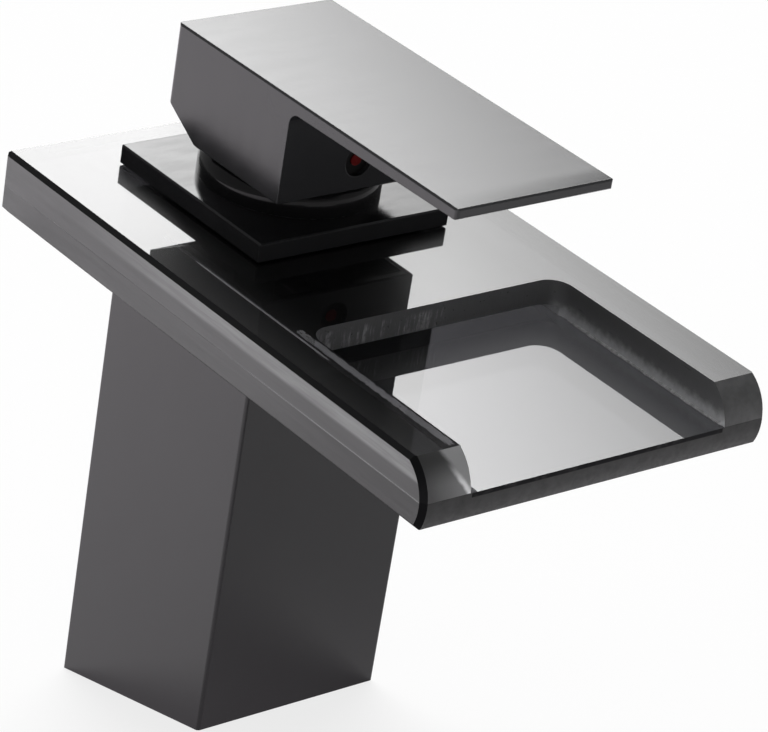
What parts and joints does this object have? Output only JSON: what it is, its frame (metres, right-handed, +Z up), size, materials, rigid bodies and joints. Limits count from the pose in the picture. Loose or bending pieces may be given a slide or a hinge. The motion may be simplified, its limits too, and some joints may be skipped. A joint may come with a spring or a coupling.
{
  "type": "basin mixer tap",
  "caption": "Single-lever basin mixer with a leaning square column, a flat glass spout with an open water channel, and a thin flat lever on top.",
  "frame": {"origin": "middle of the foot's level underside, where the tap sits on the basin", "axes": "+Z up, -Y towards the user along the spout, +X to the user's right; the column leans 15 degrees towards -Y"},
  "size_m": [0.092, 0.1618, 0.1598],
  "materials": {
    "black_lacquer": "gloss",
    "floor_glass": "polished",
    "frame_glass": "polished",
    "brass": "machined",
    "black_rubber": "matt",
    "white_plastic": "moulded",
    "blue_plastic": "moulded",
    "ceramic": "lapped",
    "steel": "ground",
    "black_plastic": "gloss",
    "red_plastic": "gloss"
  },
  "bodies": {
    "tap": {"column": "black_lacquer", "valve_core": "brass", "foot_pad": "black_rubber", "lower_gasket": "black_rubber", "glass_floor": "floor_glass", "glass_frame": "frame_glass", "upper_gasket": "black_rubber", "top_plate": "black_lacquer", "bonnet": "black_lacquer", "cartridge_nut": "brass", "cartridge_housing": "white_plastic", "housing_ring": "black_rubber", "cartridge_base": "white_plastic", "inlet_seals": "black_rubber", "disc_seals": "black_rubber", "fixed_disc": "ceramic"},
    "swivel": {"swivel": "white_plastic", "stem_pin": "steel"},
    "lever": {"stem": "brass", "handle": "black_lacquer", "grub_screw": "steel", "index_plug": "black_plastic", "index_mark": "red_plastic"},
    "disc": {"moving_disc": "ceramic", "disc_carrier": "blue_plastic"}
  },
  "joints": [
    {"name": "handle_turn", "type": "hinge", "parent": "tap", "child": "swivel", "pos_m": [0, -0.03165, 0.12197], "axis": [0, -0.2588, 0.9659], "range_deg": [-45, 45]},
    {"name": "handle_lift", "type": "hinge", "parent": "swivel", "child": "lever", "pos_m": [0, -0.03165, 0.12197], "axis": [-1, 0, 0], "range_deg": [0, 20]},
    {"name": "disc_slide", "type": "slide", "parent": "swivel", "child": "disc", "axis": [0, -0.9659, -0.2588], "range_m": [0, 0.0036]}
  ],
  "couplings": [
    {"joint": "disc_slide", "follows": "handle_lift", "m_per_rad": 0.010288}
  ]
}
